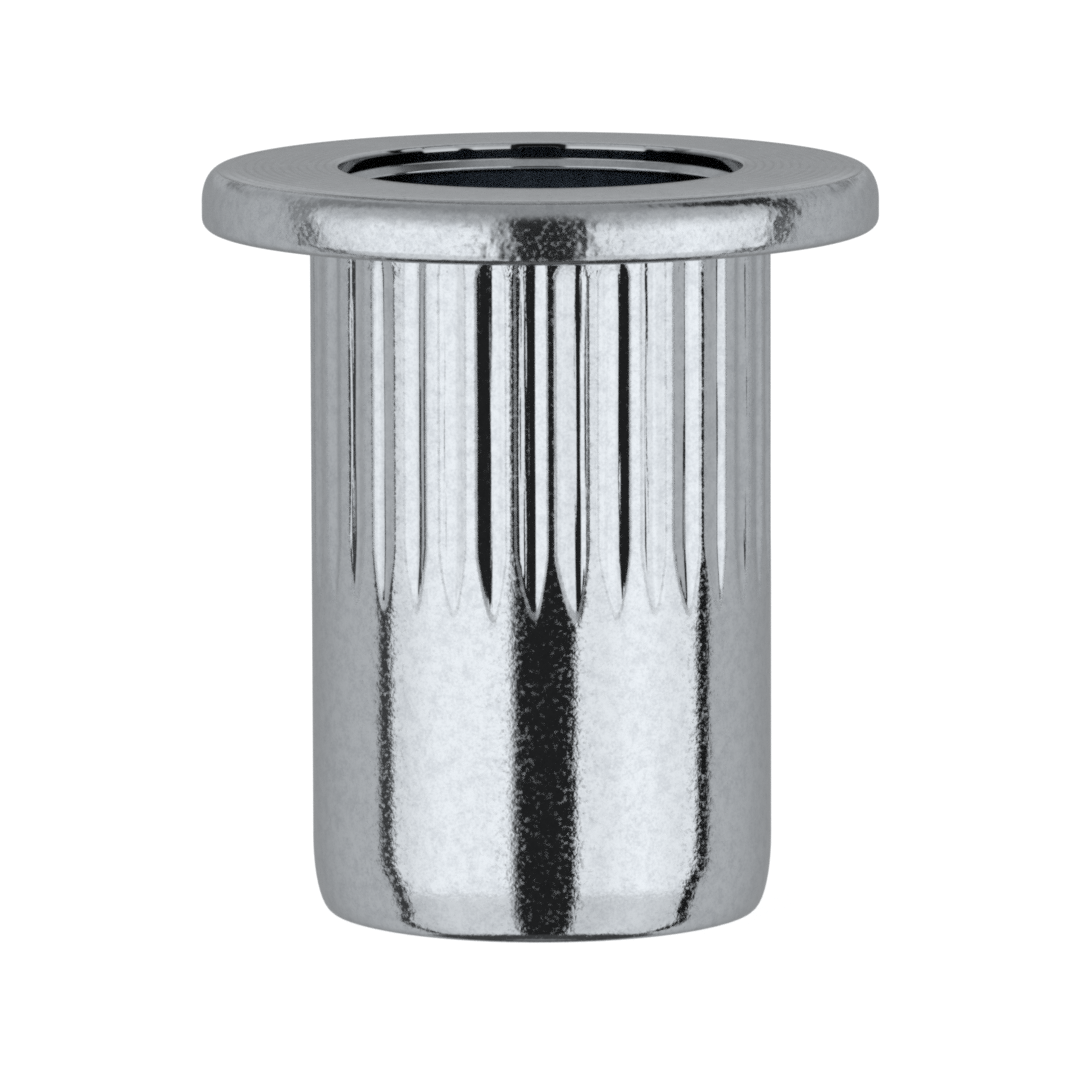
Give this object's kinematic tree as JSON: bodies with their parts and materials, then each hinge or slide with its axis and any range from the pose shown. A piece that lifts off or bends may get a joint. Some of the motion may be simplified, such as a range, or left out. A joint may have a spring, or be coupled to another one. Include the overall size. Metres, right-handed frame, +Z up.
{
  "type": "rivet nut",
  "caption": "Flat-head, open-end cylindrical rivet nut with straight knurl grooves under its flange and a threaded lower bore, in bright zinc-plated steel.",
  "frame": {"origin": "centre of the lower end face, on the nut's axis", "axes": "+Z up along the nut's axis, from the lower threaded end to the flange; +X to the right and +Y to the back, with one knurl groove 2 degrees from -Y towards -X"},
  "size_m": [0.016, 0.016, 0.0178],
  "materials": {
    "zinc_steel": "bright zinc plating on turned and pressed steel, faintly blue, finely grained"
  },
  "bodies": {
    "root": {"rivet_nut": "zinc_steel"}
  },
  "joints": []
}
